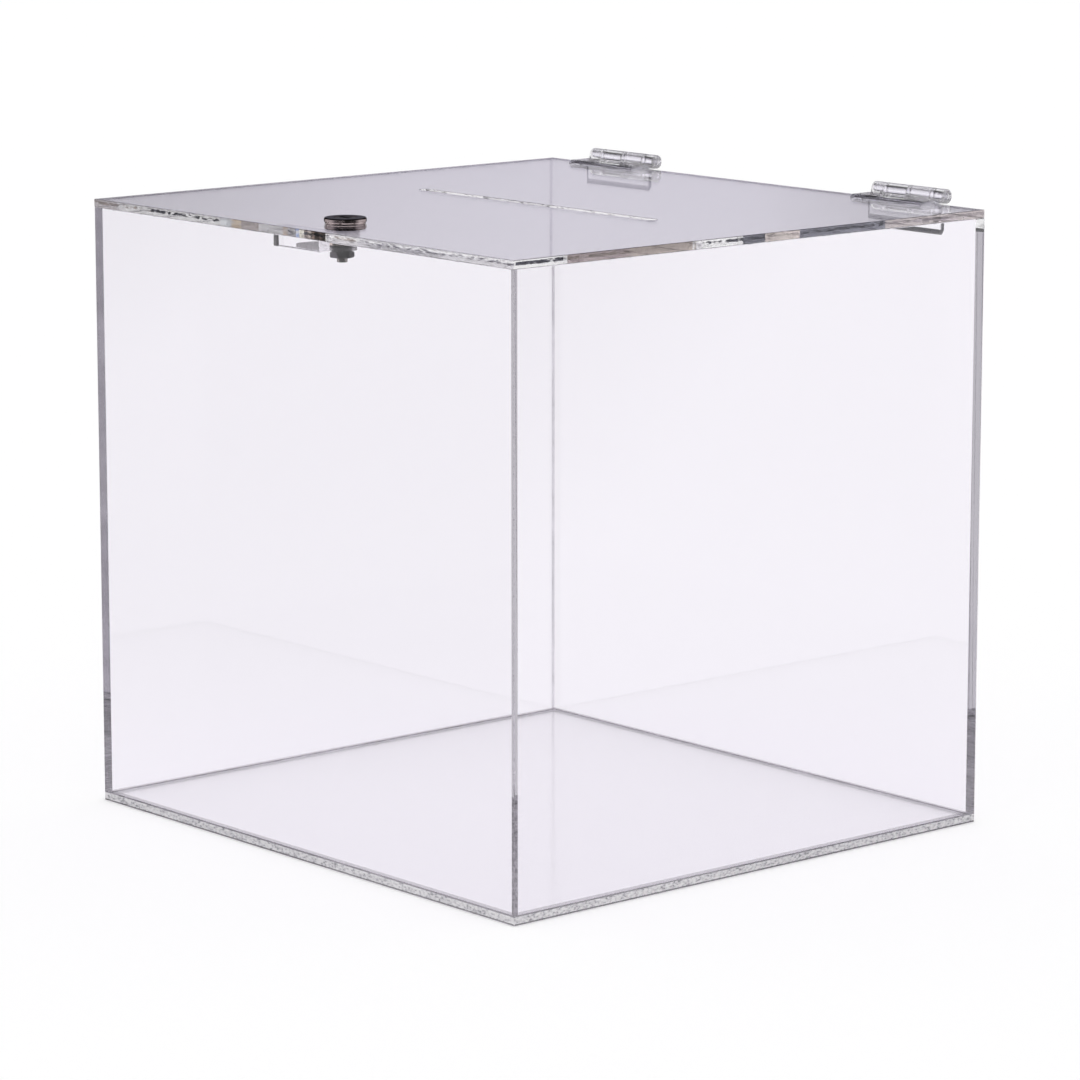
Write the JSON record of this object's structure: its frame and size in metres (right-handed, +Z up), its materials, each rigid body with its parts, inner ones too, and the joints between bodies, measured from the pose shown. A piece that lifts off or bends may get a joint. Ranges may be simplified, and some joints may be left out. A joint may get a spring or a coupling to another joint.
{
  "type": "ballot box",
  "caption": "Clear acrylic ballot box with a slotted lid on clear hinges and a cam lock set in the lid near its front edge.",
  "frame": {"origin": "middle of the underside of the case (the hinges, which stand out behind, aren't counted)", "axes": "+X runs along the lock side to the right, +Y from the lock side to the hinge side, +Z up"},
  "size_m": [0.314, 0.302, 0.307],
  "materials": {
    "clear_sheet": "gloss",
    "clear_moulding": "gloss",
    "lock_body": "gloss",
    "lock_core": "satin",
    "brass": "satin",
    "dull_steel": "satin",
    "plated_steel": "gloss"
  },
  "bodies": {
    "case": {"base_plate": "clear_sheet", "front_wall": "clear_sheet", "back_wall": "clear_sheet", "left_wall": "clear_sheet", "right_wall": "clear_sheet", "catch_block": "clear_sheet", "hinge_left_wall_leaf": "clear_moulding", "hinge_left_pin": "clear_moulding", "hinge_right_wall_leaf": "clear_moulding", "hinge_right_pin": "clear_moulding"},
    "lid": {"lid": "clear_sheet", "hinge_left_lid_leaf": "clear_moulding", "hinge_right_lid_leaf": "clear_moulding", "lock_housing": "lock_body", "lock_mounting_nut": "dull_steel"},
    "lock_core": {"lock_plug": "lock_core", "lock_wafers": "brass", "lock_stop_washer": "dull_steel", "lock_cam": "plated_steel", "lock_spring_washer": "dull_steel", "lock_cam_nut": "dull_steel"}
  },
  "joints": [
    {"name": "lid_swing", "type": "hinge", "parent": "case", "child": "lid", "pos_m": [0, 0.151, 0.3035], "axis": [-1, 0, 0], "range_deg": [0, 270]},
    {"name": "lock_turn", "type": "hinge", "parent": "lid", "child": "lock_core", "pos_m": [0, -0.1165, 0.2892], "axis": [0, 0, 1], "range_deg": [0, 90]}
  ]
}
